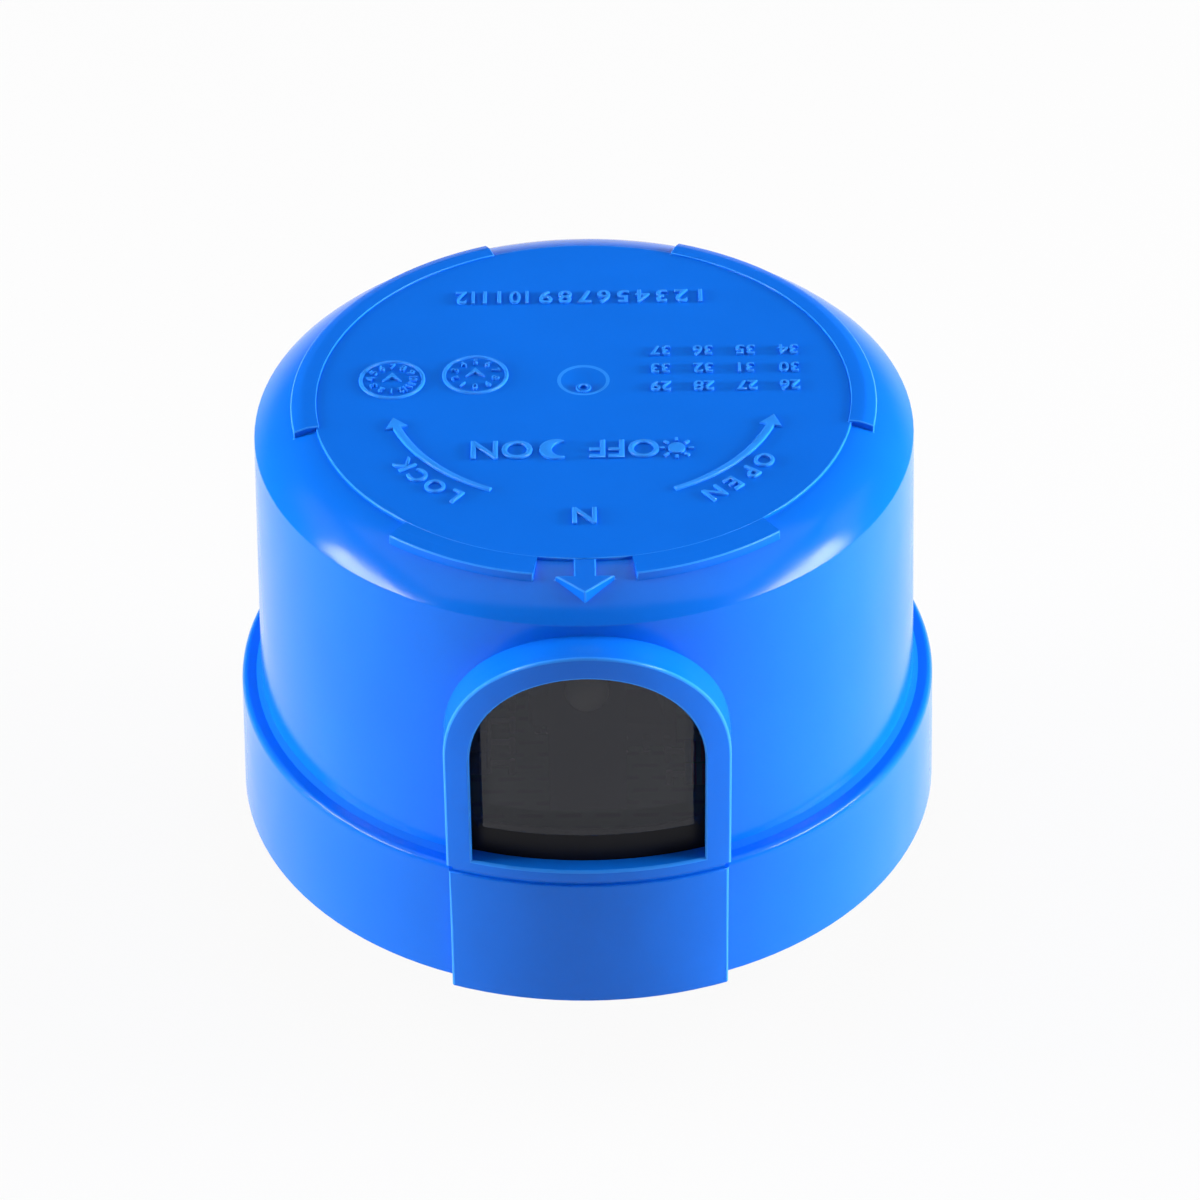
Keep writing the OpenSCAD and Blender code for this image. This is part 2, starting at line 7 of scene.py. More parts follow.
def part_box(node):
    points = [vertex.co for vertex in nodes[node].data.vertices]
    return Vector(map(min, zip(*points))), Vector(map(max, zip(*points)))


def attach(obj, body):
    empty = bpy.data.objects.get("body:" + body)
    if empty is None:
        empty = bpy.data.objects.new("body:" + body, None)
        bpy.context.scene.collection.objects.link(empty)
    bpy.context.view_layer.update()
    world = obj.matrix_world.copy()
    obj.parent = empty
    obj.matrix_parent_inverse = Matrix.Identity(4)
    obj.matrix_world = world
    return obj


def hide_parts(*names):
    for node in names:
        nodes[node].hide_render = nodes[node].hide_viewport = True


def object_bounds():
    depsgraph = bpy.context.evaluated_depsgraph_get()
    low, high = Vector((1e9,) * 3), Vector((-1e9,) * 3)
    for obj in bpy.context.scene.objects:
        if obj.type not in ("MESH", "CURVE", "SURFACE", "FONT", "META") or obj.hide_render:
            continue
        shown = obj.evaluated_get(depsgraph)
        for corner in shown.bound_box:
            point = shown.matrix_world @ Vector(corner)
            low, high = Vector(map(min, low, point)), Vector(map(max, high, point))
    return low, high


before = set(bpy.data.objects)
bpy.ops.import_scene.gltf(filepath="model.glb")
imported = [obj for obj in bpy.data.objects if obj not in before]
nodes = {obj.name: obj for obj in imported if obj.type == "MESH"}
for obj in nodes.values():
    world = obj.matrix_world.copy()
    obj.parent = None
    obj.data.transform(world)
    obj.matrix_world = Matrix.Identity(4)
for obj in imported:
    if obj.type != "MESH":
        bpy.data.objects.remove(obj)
cad_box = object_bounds()

# Base plate: the black disc that closes the cover from below, with its hub, gasket channel and
# board posts. Injection moulded in one piece from glass-filled plastic, and snapped over beads
# inside the skirt.
MM = 0.001
PATCH_LOW, PATCH_HIGH = 0.3, 0.7
FLOW_PATCH, GLOSS_PATCH = 14 * MM, 5 * MM
MOULDED_BLACK = (0.012, 0.012, 0.013)


def new_finish(name):
    """A material, its node tree, its shader and the part's own coordinates in metres."""
    finish = bpy.data.materials.new(name)
    finish.use_nodes = True
    tree = finish.node_tree
    shader = tree.nodes["Principled BSDF"]
    place = tree.nodes.new("ShaderNodeTexCoord").outputs["Object"]
    return finish, tree, shader, place


def clouds(tree, place, size, detail=2.0, stretch=(1, 1, 1)):
    """Soft random patches about size metres across, mostly from PATCH_LOW to PATCH_HIGH."""
    turn = tree.nodes.new("ShaderNodeMapping")
    turn.inputs["Scale"].default_value = stretch
    patches = tree.nodes.new("ShaderNodeTexNoise")
    patches.inputs["Scale"].default_value = 1 / size
    patches.inputs["Detail"].default_value = detail
    tree.links.new(place, turn.inputs["Vector"])
    tree.links.new(turn.outputs["Vector"], patches.inputs["Vector"])
    return patches.outputs["Fac"]


def spread(tree, source, low, high, start=PATCH_LOW, stop=PATCH_HIGH):
    """Turns a pattern's values from start to stop into values from low to high."""
    span = tree.nodes.new("ShaderNodeMapRange")
    span.inputs["From Min"].default_value = start
    span.inputs["From Max"].default_value = stop
    span.inputs["To Min"].default_value = low
    span.inputs["To Max"].default_value = high
    tree.links.new(source, span.inputs["Value"])
    return span.outputs["Result"]


def shades(tree, source, stops, sharp=False):
    """Colours along a 0 to 1 pattern, from (place, colour) pairs."""
    ramp = tree.nodes.new("ShaderNodeValToRGB")
    ramp.color_ramp.interpolation = "CONSTANT" if sharp else "LINEAR"
    while len(ramp.color_ramp.elements) < len(stops):
        ramp.color_ramp.elements.new(1.0)
    for stop, (at, colour) in zip(ramp.color_ramp.elements, stops):
        stop.position = at
        stop.color = (*colour, 1)
    tree.links.new(source, ramp.inputs["Fac"])
    return ramp.outputs["Color"]


def drifting(tree, patches, deeper, paler):
    """A colour that drifts between two tones over soft patches."""
    return shades(tree, patches, [(PATCH_LOW, deeper), (PATCH_HIGH, paler)])


def relief(tree, shader, source, depth, strength=0.5):
    """Presses a pattern into the surface, depth metres deep."""
    bump = tree.nodes.new("ShaderNodeBump")
    bump.inputs["Distance"].default_value = depth
    bump.inputs["Strength"].default_value = strength
    tree.links.new(source, bump.inputs["Height"])
    tree.links.new(bump.outputs["Normal"], shader.inputs["Normal"])


def moulded_plastic(name, colour, rough, grain=1.6 * MM, depth=0.01 * MM, drift=0.05, shine=0.5):
    """Moulded plastic: colour that drifts a little, uneven gloss and a faintly wavy skin."""
    finish, tree, shader, place = new_finish(name)
    shader.inputs["Specular IOR Level"].default_value = shine
    deeper = [c * (1 - drift) for c in colour]
    paler = [min(1, c * (1 + drift)) for c in colour]
    flow = clouds(tree, place, FLOW_PATCH, detail=3)
    tree.links.new(drifting(tree, flow, deeper, paler), shader.inputs["Base Color"])
    gloss = clouds(tree, place, GLOSS_PATCH, detail=4)
    tree.links.new(spread(tree, gloss, rough - 0.03, rough + 0.04), shader.inputs["Roughness"])
    relief(tree, shader, clouds(tree, place, grain, detail=1), depth)
    return finish


def dress(node, finish):
    """Gives a solid its finish."""
    for slot in nodes[node].material_slots:
        slot.material = finish


dress("base_plate", moulded_plastic("black_plastic", MOULDED_BLACK, rough=0.42,
                                    grain=0.7 * MM, depth=0.02 * MM))

# Gasket: a soft foam ring in the channel under the base, which seals on the receptacle's rim.
# Die cut from sheet, so its flat faces show open pores; held by its own adhesive.
PORE, PORE_DEPTH = 0.9 * MM, 0.25 * MM
PORE_SHADE_TONE, SKIN_TONE = (0.012, 0.012, 0.013), (0.05, 0.05, 0.052)
foam, tree, shader, place = new_finish("foam_rubber")
shader.inputs["Roughness"].default_value = 0.95
cells = tree.nodes.new("ShaderNodeTexVoronoi")
cells.inputs["Scale"].default_value = 1 / PORE
tree.links.new(place, cells.inputs["Vector"])
pores = cells.outputs["Distance"]
# The pores are painted darker than the skin between them: painted shade in the pits.
tone = shades(tree, pores, [(0.1, PORE_SHADE_TONE), (0.5, SKIN_TONE)])
tree.links.new(tone, shader.inputs["Base Color"])
relief(tree, shader, pores, PORE_DEPTH, strength=0.8)
dress("gasket", foam)

# Blades and rivets: three curved brass blades with locking toes, and the rivets that hold them
# to the base. The blades are stamped from strip and rolled to the plug circle; the rivets are
# plated steel, set in counterbores.
BLADE_EDGE, RIVET_EDGE = 0.18, 0.3
BRASS, BRASS_TARNISH = (0.78, 0.55, 0.21), (0.55, 0.36, 0.12)
STEEL, STEEL_TARNISH = (0.62, 0.62, 0.6), (0.45, 0.45, 0.44)
UP_THE_BLADE, EVERY_WAY = (1, 1, 0.12), (1, 1, 1)
STAIN_PATCH, DRAWING_MARK = 6 * MM, 0.5 * MM
WELD, FLAT_TURN, CORNER_TURN = 0.002 * MM, 0.02, 40
ROUNDING_STEPS, FACE_SHARE = 3, 0.45
SOFT_RIDGE, SOFT_HOLLOW = 50, 18


def worn_metal(name, colour, dark, rough, stretch):
    """Bare metal with fine drawing marks, a little tarnish and uneven gloss."""
    finish, tree, shader, place = new_finish(name)
    shader.inputs["Metallic"].default_value = 1.0
    stain = clouds(tree, place, STAIN_PATCH, detail=5)
    tree.links.new(shades(tree, stain, [(0.32, dark), (0.6, colour)]), shader.inputs["Base Color"])
    marks = clouds(tree, place, DRAWING_MARK, detail=3, stretch=stretch)
    tree.links.new(spread(tree, marks, rough - 0.06, rough + 0.1), shader.inputs["Roughness"])
    relief(tree, shader, marks, 0.02 * MM)
    return finish


def welded(node):
    """A copy of a solid's triangles as one closed mesh."""
    bm = bmesh.new()
    bm.from_mesh(nodes[node].data)
    bmesh.ops.remove_doubles(bm, verts=bm.verts, dist=WELD)
    return bm


def whole_flats(bm):
    """Joins the triangles of each flat face."""
    bmesh.ops.dissolve_limit(bm, angle_limit=math.radians(FLAT_TURN), verts=bm.verts,
                             edges=bm.edges)
    return bm


def anywhere(p):
    """True at every point."""
    return True


def rounded(bm, rules, finish=-1):
    """Rounds outward edges, each by the first rule (place, radius, least turn, fit) it obeys.

    Radii are in millimetres and turns in degrees. A radius that has to fit takes up at most
    FACE_SHARE of the narrower face beside its edge. The rounding may have a finish of its own,
    by the number of its material slot."""
    widest = max(radius for where, radius, least, fit in rules)
    share = bm.edges.layers.float.new("bevel_weight_edge")
    for edge in (e for e in bm.edges if e.is_manifold and e.is_convex):
        start, stop = (v.co / MM for v in edge.verts)
        for where, radius, least, fit in rules:
            if edge.calc_face_angle() > math.radians(least) and where(start) and where(stop):
                along = (stop - start).normalized()
                room = min(max((v.co / MM - start).cross(along).length for v in face.verts)
                           for face in edge.link_faces)
                edge[share] = (min(radius, FACE_SHARE * room) if fit else radius) / widest
                break
    blank = bpy.data.objects.new("blank", bpy.data.meshes.new("blank"))
    bm.to_mesh(blank.data)
    bm.free()
    for slot in range(finish + 1):
        blank.data.materials.append(None)
    bpy.context.scene.collection.objects.link(blank)
    tool = blank.modifiers.new("rounding", "BEVEL")
    tool.limit_method = "WEIGHT"
    tool.width = widest * MM
    tool.segments = ROUNDING_STEPS
    tool.profile = 0.5
    tool.material = finish
    tool.use_clamp_overlap = False
    result = bmesh.new()
    result.from_object(blank, bpy.context.evaluated_depsgraph_get())
    bpy.data.meshes.remove(blank.data)
    return result


def piece_from(bm, name, replaced=None, exact=None):
    """Ends a mesh: hard and soft edges told apart, flats shaded flat, and it rides with the part.

    exact gives the true outward direction at a point of a curved face, where it is known."""
    bmesh.ops.triangulate(bm, faces=[f for f in bm.faces if len(f.verts) > 4])
    for face in bm.faces:
        face.smooth = True
    for edge in bm.edges:
        limit = math.radians(SOFT_RIDGE if edge.is_convex else SOFT_HOLLOW)
        edge.smooth = edge.is_manifold and edge.calc_face_angle() < limit
    mesh = bpy.data.meshes.new(name)
    bm.to_mesh(mesh)
    bm.free()
    piece = bpy.data.objects.new(name, mesh)
    bpy.context.scene.collection.objects.link(piece)
    even = piece.modifiers.new("flat_faces", "WEIGHTED_NORMAL")
    even.mode = "FACE_AREA_WITH_ANGLE"
    even.keep_sharp = True
    if exact:
        settled = piece.evaluated_get(bpy.context.evaluated_depsgraph_get()).data
        outward = [corner.vector.copy() for corner in settled.corner_normals]
        for face in mesh.polygons:
            for corner, vert in zip(face.loop_indices, face.vertices):
                true = exact(mesh.vertices[vert].co / MM, face.normal)
                outward[corner] = true or outward[corner]
        piece.modifiers.clear()
        mesh.normals_split_custom_set(outward)
    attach(piece, "root")
    if replaced:
        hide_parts(replaced)
    return piece


def rounded_copy(node, radius):
    """A copy of a solid with its outer corners rounded, in the solid's place."""
    bm = rounded(whole_flats(welded(node)), [(anywhere, radius, CORNER_TURN, True)])
    return piece_from(bm, node + "_finished", node)


brass = worn_metal("brass", BRASS, BRASS_TARNISH, rough=0.26, stretch=UP_THE_BLADE)
for blade in ("line_blade", "load_blade", "neutral_blade"):
    piece = rounded_copy(blade, BLADE_EDGE)
    piece.data.materials.append(brass)
steel = worn_metal("plated_steel", STEEL, STEEL_TARNISH, rough=0.3, stretch=EVERY_WAY)
rivets = rounded_copy("blade_rivets", RIVET_EDGE)
rivets.data.materials.append(steel)

# Circuit board and its screws: a round laminate disc with green lacquer over copper tracks,
# drilled for the leads. Three cross-head screws hold it on the base's posts; the blades' tongues
# come up through its slots.
TRACK_PITCH, TRACK_SHARE, TRACK_RISE = 9 * MM, 0.09, 0.03 * MM
LACQUER, LACQUER_PALER = (0.012, 0.12, 0.045, 1), (0.014, 0.13, 0.05, 1)
TRACK_GREEN = (0.05, 0.26, 0.09, 1)
laminate, tree, shader, place = new_finish("board_laminate")
shader.inputs["Roughness"].default_value = 0.35
tracks = tree.nodes.new("ShaderNodeTexBrick")
tracks.inputs["Scale"].default_value = 1 / TRACK_PITCH
tracks.inputs["Mortar Size"].default_value = TRACK_SHARE
tracks.inputs["Color1"].default_value = LACQUER
tracks.inputs["Color2"].default_value = LACQUER_PALER
tracks.inputs["Mortar"].default_value = TRACK_GREEN
tree.links.new(place, tracks.inputs["Vector"])
tree.links.new(tracks.outputs["Color"], shader.inputs["Base Color"])
relief(tree, shader, tracks.outputs["Fac"], TRACK_RISE)
dress("circuit_board", laminate)
dress("board_screws", steel)

# Parts on the board: relay, capacitors, varistor, diodes, resistors, transistor and chip, each
# with tinned leads. Cases are moulded, dipped or sleeved; all are soldered through the board, so
# only their leads go below it.
BOARD_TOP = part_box("circuit_board")[1].z
LEAD_SHOWS = 0.09 * MM
COAT_PATCH, COAT_GRAIN = 3 * MM, 1 * MM
TIN = (0.6, 0.6, 0.58, 1)
RELAY_BLACK, CHIP_BLACK = (0.012, 0.012, 0.014), (0.014, 0.014, 0.015)
FILM_RED, SLEEVE_NAVY, VARISTOR_BLUE = (0.42, 0.035, 0.024), (0.02, 0.03, 0.08), (0.05, 0.16, 0.42)
BLACK, SILVER, GOLD = (0.015, 0.015, 0.016), (0.55, 0.55, 0.55), (0.5, 0.33, 0.09)
BROWN, RED, AMBER = (0.12, 0.045, 0.02), (0.45, 0.03, 0.02), (0.5, 0.16, 0.05)
COAT_GREEN, COAT_BLUE = (0.24, 0.3, 0.18), (0.14, 0.34, 0.45)


def reckon(tree, operation, *terms):
    """A sum on patterns and plain numbers."""
    step = tree.nodes.new("ShaderNodeMath")
    step.operation = operation
    for socket, term in zip(step.inputs, terms):
        if isinstance(term, bpy.types.NodeSocket):
            tree.links.new(term, socket)
        else:
            socket.default_value = term
    return step.outputs["Value"]


def board_part(name, colour, rough, lies=None, stripes=()):
    """A component's coat, with tin on its leads: below its body, and past its ends if it lies.

    lies is the way it lies, the middle of its body there and half its length. Each stripe is
    painted round it from one share of its length to another."""
    finish, tree, shader, place = new_finish(name)
    axes = tree.nodes.new("ShaderNodeSeparateXYZ")
    tree.links.new(place, axes.inputs["Vector"])
    tin = reckon(tree, "LESS_THAN", axes.outputs["Z"], BOARD_TOP + LEAD_SHOWS)
    if lies:
        along, middle, half = lies
        length = spread(tree, axes.outputs[along], 0, 1, middle - half, middle + half)
        on_body = reckon(tree, "COMPARE", length, 0.5, 0.499)
        tin = reckon(tree, "MAXIMUM", reckon(tree, "SUBTRACT", 1.0, on_body), tin)
        stops = [(0.0, colour)]
        for start, stop, paint in stripes:
            stops += [(start, paint), (stop, colour)]
        coat = shades(tree, length, stops, sharp=True)
    else:
        deeper, paler = [c * 0.9 for c in colour], [min(1, c * 1.08) for c in colour]
        coat = drifting(tree, clouds(tree, place, COAT_PATCH, detail=4), deeper, paler)
    bare = tree.nodes.new("ShaderNodeMix")
    bare.data_type = "RGBA"
    bare.inputs["B"].default_value = TIN
    tree.links.new(tin, bare.inputs["Factor"])
    tree.links.new(coat, bare.inputs["A"])
    tree.links.new(bare.outputs["Result"], shader.inputs["Base Color"])
    tree.links.new(tin, shader.inputs["Metallic"])
    gloss = clouds(tree, place, COAT_GRAIN)
    tree.links.new(spread(tree, gloss, rough - 0.05, rough + 0.06), shader.inputs["Roughness"])
    return finish


def lying_part(node, name, colour, rough, along, half, stripes):
    """Dresses a component that lies on the board along X or Y."""
    low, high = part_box(node)
    axis = "XYZ".index(along)
    lies = (along, (low[axis] + high[axis]) / 2, half)
    dress(node, board_part(name, colour, rough, lies, stripes))


dress("power_relay", board_part("relay_case", RELAY_BLACK, rough=0.4))
dress("film_capacitor", board_part("film_case", FILM_RED, rough=0.35))
sleeve = board_part("can_sleeve", SLEEVE_NAVY, rough=0.28)
dress("smoothing_capacitor", sleeve)
dress("timing_capacitor", sleeve)
dress("surge_varistor", board_part("varistor_coat", VARISTOR_BLUE, rough=0.45))
lying_part("rectifier_diodes", "component_black", BLACK, rough=0.38, along="X", half=2.6 * MM,
           stripes=[(0.74, 0.9, SILVER)])
lying_part("zener_diode", "zener_glass", AMBER, rough=0.15, along="X", half=2.6 * MM,
           stripes=[(0.74, 0.9, BLACK)])
lying_part("fuse_resistor", "fuse_coat", COAT_GREEN, rough=0.5, along="Y", half=5.5 * MM,
           stripes=[(0.14, 0.24, BROWN), (0.32, 0.42, RED), (0.5, 0.6, BLACK), (0.8, 0.9, GOLD)])
lying_part("bleed_resistors", "resistor_coat", COAT_BLUE, rough=0.4, along="X", half=3.25 * MM,
           stripes=[(0.12, 0.2, RED), (0.3, 0.38, RED), (0.48, 0.56, BLACK), (0.8, 0.9, BROWN)])
dress("relay_transistor", board_part("transistor_case", BLACK, rough=0.4))
dress("control_chip", board_part("chip_case", CHIP_BLACK, rough=0.45))

# Light sensor and its holder: a clear-faced sensor that looks out through the window, in an
# upright black block. The block is moulded and pegged into the board, and keeps stray light
# inside the housing off the sensor.
RESIN = (0.75, 0.7, 0.58)
dress("sensor_holder", moulded_plastic("holder_plastic", MOULDED_BLACK, rough=0.5))
dress("photo_sensor", board_part("sensor_resin", RESIN, rough=0.2))

# Window lens: the smoked plate behind the arched opening, with a raised pane that nearly fills
# it and a matt border below, painted blacker and less glossy than the pane as painted shade of
# the recess. Moulded from dark acrylic and fixed in its seat behind the frame; polished, so it
# mirrors the floor in front and lets the sensor behind it show faintly.
LENS_INDEX, LENS_COVER, LENS_GLARE = 1.64, 0.55, (0.86, 0.88, 1, 1)
SMOKE, SMOKE_PALER = (0.010, 0.010, 0.012), (0.014, 0.014, 0.016)
BORDER_SHADE_BLACK = (0.004, 0.004, 0.006)
SMOKE_PATCH, POLISH_PATCH, RIPPLE = 8 * MM, 3 * MM, 6 * MM
PANE_FOOT, PANE_RAISE, PANE_EDGE = 23.4, 0.9, 0.2
NEAR = 0.02
smoked, tree, shader, place = new_finish("smoked_plastic")
shader.inputs["IOR"].default_value = LENS_INDEX
shader.inputs["Alpha"].default_value = LENS_COVER
shader.inputs["Specular Tint"].default_value = LENS_GLARE
tint = drifting(tree, clouds(tree, place, SMOKE_PATCH), SMOKE, SMOKE_PALER)
tree.links.new(tint, shader.inputs["Base Color"])
polish = spread(tree, clouds(tree, place, POLISH_PATCH), 0.06, 0.1)
tree.links.new(polish, shader.inputs["Roughness"])
relief(tree, shader, clouds(tree, place, RIPPLE, detail=0), 0.01 * MM, strength=0.3)
# The border is the same acrylic, painted blacker and less glossy than the pane: painted shade of
# the recess in front of it.
shaded_border = moulded_plastic("smoked_border_shade", BORDER_SHADE_BLACK, rough=0.4, shine=0.15)
bm = whole_flats(welded("window_lens"))
foot_line = [v for v in bm.verts if abs(v.co.z / MM - PANE_FOOT) < NEAR]
bmesh.ops.translate(bm, verts=foot_line, vec=(0, 0, PANE_RAISE * MM))
bm = rounded(bm, [(anywhere, PANE_EDGE, CORNER_TURN, True)])
lens = piece_from(bm, "window_lens_finished", "window_lens")
for finish in (smoked, shaded_border):
    lens.data.materials.append(finish)
# Faces under the raised pane take the painted-shade border finish.
for face in lens.data.polygons:
    in_border_shade = face.center.z < (PANE_FOOT + PANE_RAISE - NEAR) * MM
    face.material_index = 1 if in_border_shade else 0

# Cover: the blue drum with its skirt band, arched window hood, rounded shoulder and raised roof
# relief. Injection moulded in one shot from glossy plastic; every outer edge has a small radius,
# most of them painted a little paler than the walls as a painted highlight, and the corner just
# above the band is matt and painted a darker blue as painted shade.
RIM_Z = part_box("cover")[0].z / MM
RIM_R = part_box("cover")[1].x / MM
HOOD_R = -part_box("cover")[0].y / MM
DRAFT = math.tan(math.radians(1.5))
ROOF_Z, PLATE_R, PLATE_RISE = 55.6, 31.4, 0.4
CREASE = Vector((38.367, 51.5))
SHOULDER_BULGE = 0.62
BAND_EDGE_MIDDLE, BAND_EDGE_BEND = Vector((40.7915, 16.2)), 0.8
LEDGE_Z, LEDGE_RISE, LEDGE_IN, LEDGE_OUT = 17.0, 0.6, 39, 40
LEDGE_STEEP, LEDGE_FLAT = 0.6, 0.85
GROOVE_LOW, GROOVE_HIGH = 17.7, 18.5
RELIEF_Z, RELIEF_R = 52, 25
GATE_Z, GATE_R = 55, 8
ARROW_HALF, ARROW_BACK, ARROW_TILT, ARROW_SLACK = 3.4, -30.2, 0.3, 15
HOOD_EDGE, GROOVE_EDGE, RIM_EDGE = 0.3, 0.2, 0.25
CREASE_EDGE, RELIEF_EDGE, GATE_EDGE = 0.12, 0.16, 0.22
EDGE_ZONE = 0.3
SHARP_TURN, CREASE_TURN, GATE_TURN = 25, 8, 5
DRUM_SLOT, EDGE_HIGHLIGHT_SLOT, LEDGE_SHADE_SLOT = 0, 1, 2
DRUM_BLUE, EDGE_HIGHLIGHT_BLUE, LEDGE_SHADE_BLUE = (0.003, 0.157, 0.79), (0.022, 0.26, 0.92), (0.002, 0.13, 0.7)
SKIN_WAVE, SKIN_DEPTH = 2.4 * MM, 0.003 * MM
foot = Vector((PLATE_R, ROOF_Z - PLATE_RISE))
chord = CREASE - foot
SHOULDER_BEND = (chord.length_squared / 4 + SHOULDER_BULGE ** 2) / (2 * SHOULDER_BULGE)
inward = Vector((chord.y, -chord.x)).normalized()
SHOULDER_MIDDLE = (foot + CREASE) / 2 + (SHOULDER_BEND - SHOULDER_BULGE) * inward


def off_axis(p):
    """How far a point is from the drum's axis."""
    return math.hypot(p.x, p.y)


def hood_face(p):
    """True on the hood's front, a cone about the drum's axis."""
    return abs(off_axis(p) + (p.z - RIM_Z) * DRAFT - HOOD_R) < NEAR


def arrow_top(p):
    """True on the arrow that points to the window."""
    return abs(p.x) < ARROW_HALF and p.y < ARROW_BACK and p.z > RELIEF_Z


def band_edge(p):
    """True on the ring where the band's wall turns into its rounded upper edge."""
    start = BAND_EDGE_MIDDLE + Vector((BAND_EDGE_BEND, 0))
    return (Vector((off_axis(p), p.z)) - start).length < NEAR


def patch(bm, where, tilt=-1):
    """The faces in a place that tilt upwards at least so far, and the edges between them."""
    for face in bm.faces:
        face.tag = face.normal.z > tilt and all(where(v.co / MM) for v in face.verts)
    faces = [f for f in bm.faces if f.tag]
    return faces, [e for e in bm.edges if all(f.tag for f in e.link_faces)]


def drum_outward(p, facing):
    """The true outward direction on the band's rounded edge and on the shoulder."""
    for middle, bend, most in ((BAND_EDGE_MIDDLE, BAND_EDGE_BEND, 70),
                               (SHOULDER_MIDDLE, SHOULDER_BEND, 20)):
        spoke = Vector((off_axis(p), p.z)) - middle
        if min(spoke) > -NEAR and abs(spoke.length - bend) < NEAR:
            away = spoke.x / off_axis(p)
            true = Vector((p.x * away, p.y * away, spoke.y)).normalized()
            if true.angle(facing) < math.radians(most):
                return true


bm = welded("cover")
front, between = patch(bm, hood_face)
bmesh.ops.beautify_fill(bm, faces=front, edges=between, method="ANGLE")
whole_flats(bm)
between = patch(bm, arrow_top, ARROW_TILT)[1]
flat = [e for e in between if e.calc_face_angle() < math.radians(ARROW_SLACK)]
bmesh.ops.dissolve_edges(bm, edges=flat, use_verts=True)
ring = [e for e in bm.edges if all(band_edge(v.co / MM) for v in e.verts)]
for part in bmesh.ops.subdivide_edges(bm, edges=ring, cuts=2)["geom_inner"]:
    if isinstance(part, bmesh.types.BMVert):
        part.co.xy *= (BAND_EDGE_MIDDLE.x + BAND_EDGE_BEND) * MM / part.co.xy.length
# Rounded edges take the paler blue finish, a painted highlight on the same plastic.
bm = rounded(bm, finish=EDGE_HIGHLIGHT_SLOT, rules=[
    (lambda p: hood_face(p) and GROOVE_LOW < p.z < GROOVE_HIGH, GROOVE_EDGE, SHARP_TURN, False),
    (hood_face, HOOD_EDGE, SHARP_TURN, False),
    (lambda p: abs(p.z - CREASE.y) < NEAR and off_axis(p) > CREASE.x - EDGE_ZONE,
     CREASE_EDGE, CREASE_TURN, False),
    (lambda p: abs(p.z - RIM_Z) < NEAR and off_axis(p) > RIM_R - EDGE_ZONE,
     RIM_EDGE, SHARP_TURN, False),
    (lambda p: p.z > RELIEF_Z and off_axis(p) > RELIEF_R, RELIEF_EDGE, SHARP_TURN, True),
    (lambda p: p.z > GATE_Z and off_axis(p) < GATE_R, GATE_EDGE, GATE_TURN, True)])
# Faces by the crease, rim and groove go back to the drum's plain blue; the rest of the rounding
# keeps its painted highlight.
for face in bm.faces:
    middle = face.calc_center_median() / MM
    by_crease = abs(middle.z - CREASE.y) < EDGE_ZONE
    by_rim = middle.z < RIM_Z + EDGE_ZONE
    by_groove = GROOVE_LOW - GROOVE_EDGE < middle.z < GROOVE_HIGH + GROOVE_EDGE
    by_ledge_shade = (LEDGE_Z < middle.z < LEDGE_Z + LEDGE_RISE
                and LEDGE_IN < off_axis(middle) < LEDGE_OUT)
    if by_crease or by_rim or by_groove:
        face.material_index = DRUM_SLOT
    # The steep corner faces just above the band get the darker matt blue: painted shade in the
    # corner.
    if by_ledge_shade and LEDGE_STEEP < face.normal.z < LEDGE_FLAT:
        face.material_index = LEDGE_SHADE_SLOT
cover = piece_from(bm, "cover_finished", "cover", drum_outward)
blue = moulded_plastic("blue_plastic", DRUM_BLUE, rough=0.17, grain=SKIN_WAVE, depth=SKIN_DEPTH,
                       drift=0.03, shine=0.22)
# Paler blue for rounded edges and raised marks: a painted highlight, not a different plastic.
painted_edge_highlight = moulded_plastic("blue_edge_highlight", EDGE_HIGHLIGHT_BLUE, rough=0.2, grain=SKIN_WAVE, depth=SKIN_DEPTH,
                            drift=0.04, shine=0.22)
# Matt, and darker than the drum's blue; the darker colour is painted shade where the body meets the
# ledge.
matt_shaded_corner = moulded_plastic("blue_corner_shade", LEDGE_SHADE_BLUE, rough=0.6, grain=SKIN_WAVE,
                              depth=SKIN_DEPTH, drift=0.03, shine=0.05)
for finish in (blue, painted_edge_highlight, matt_shaded_corner):
    cover.data.materials.append(finish)

# Front tabs: two short ledges at the plate's rim, one each side of the arrow, with upright
# fronts. Moulded with the cover, nearly flush with the plate, so that they fall only a little
# towards the front.
FRONT = -90
TAB_R, TAB_FALL, TAB_NEAR, TAB_ARC, TAB_STEPS = 34.3, 0.22, 9.7, 30.0, 24
TAB_SECTION = ((PLATE_R - 0.6, ROOF_Z - 1.6), (PLATE_R - 0.01, ROOF_Z - 0.02),
               (TAB_R, ROOF_Z - TAB_FALL), (TAB_R + 0.05, ROOF_Z - 2))
bm = bmesh.new()
for start in (FRONT - TAB_NEAR, FRONT + TAB_NEAR + TAB_ARC):
    turn = Matrix.Rotation(math.radians(start), 3, "Z")
    corners = [bm.verts.new(turn @ Vector((r, 0, z)) * MM) for r, z in TAB_SECTION]
    bmesh.ops.spin(bm, geom=[bm.faces.new(corners)], cent=(0, 0, 0), axis=(0, 0, 1),
                   angle=-math.radians(TAB_ARC), steps=TAB_STEPS)
bmesh.ops.remove_doubles(bm, verts=bm.verts, dist=WELD)
bmesh.ops.recalc_face_normals(bm, faces=bm.faces)
# The tabs' rounded edges take the paler blue finish too, a painted highlight.
bm = rounded(bm, finish=EDGE_HIGHLIGHT_SLOT, rules=[
    (lambda p: off_axis(p) > PLATE_R + 0.1, RELIEF_EDGE, CORNER_TURN, True)])
tabs = piece_from(bm, "front_tabs")
for finish in (blue, painted_edge_highlight):
    tabs.data.materials.append(finish)

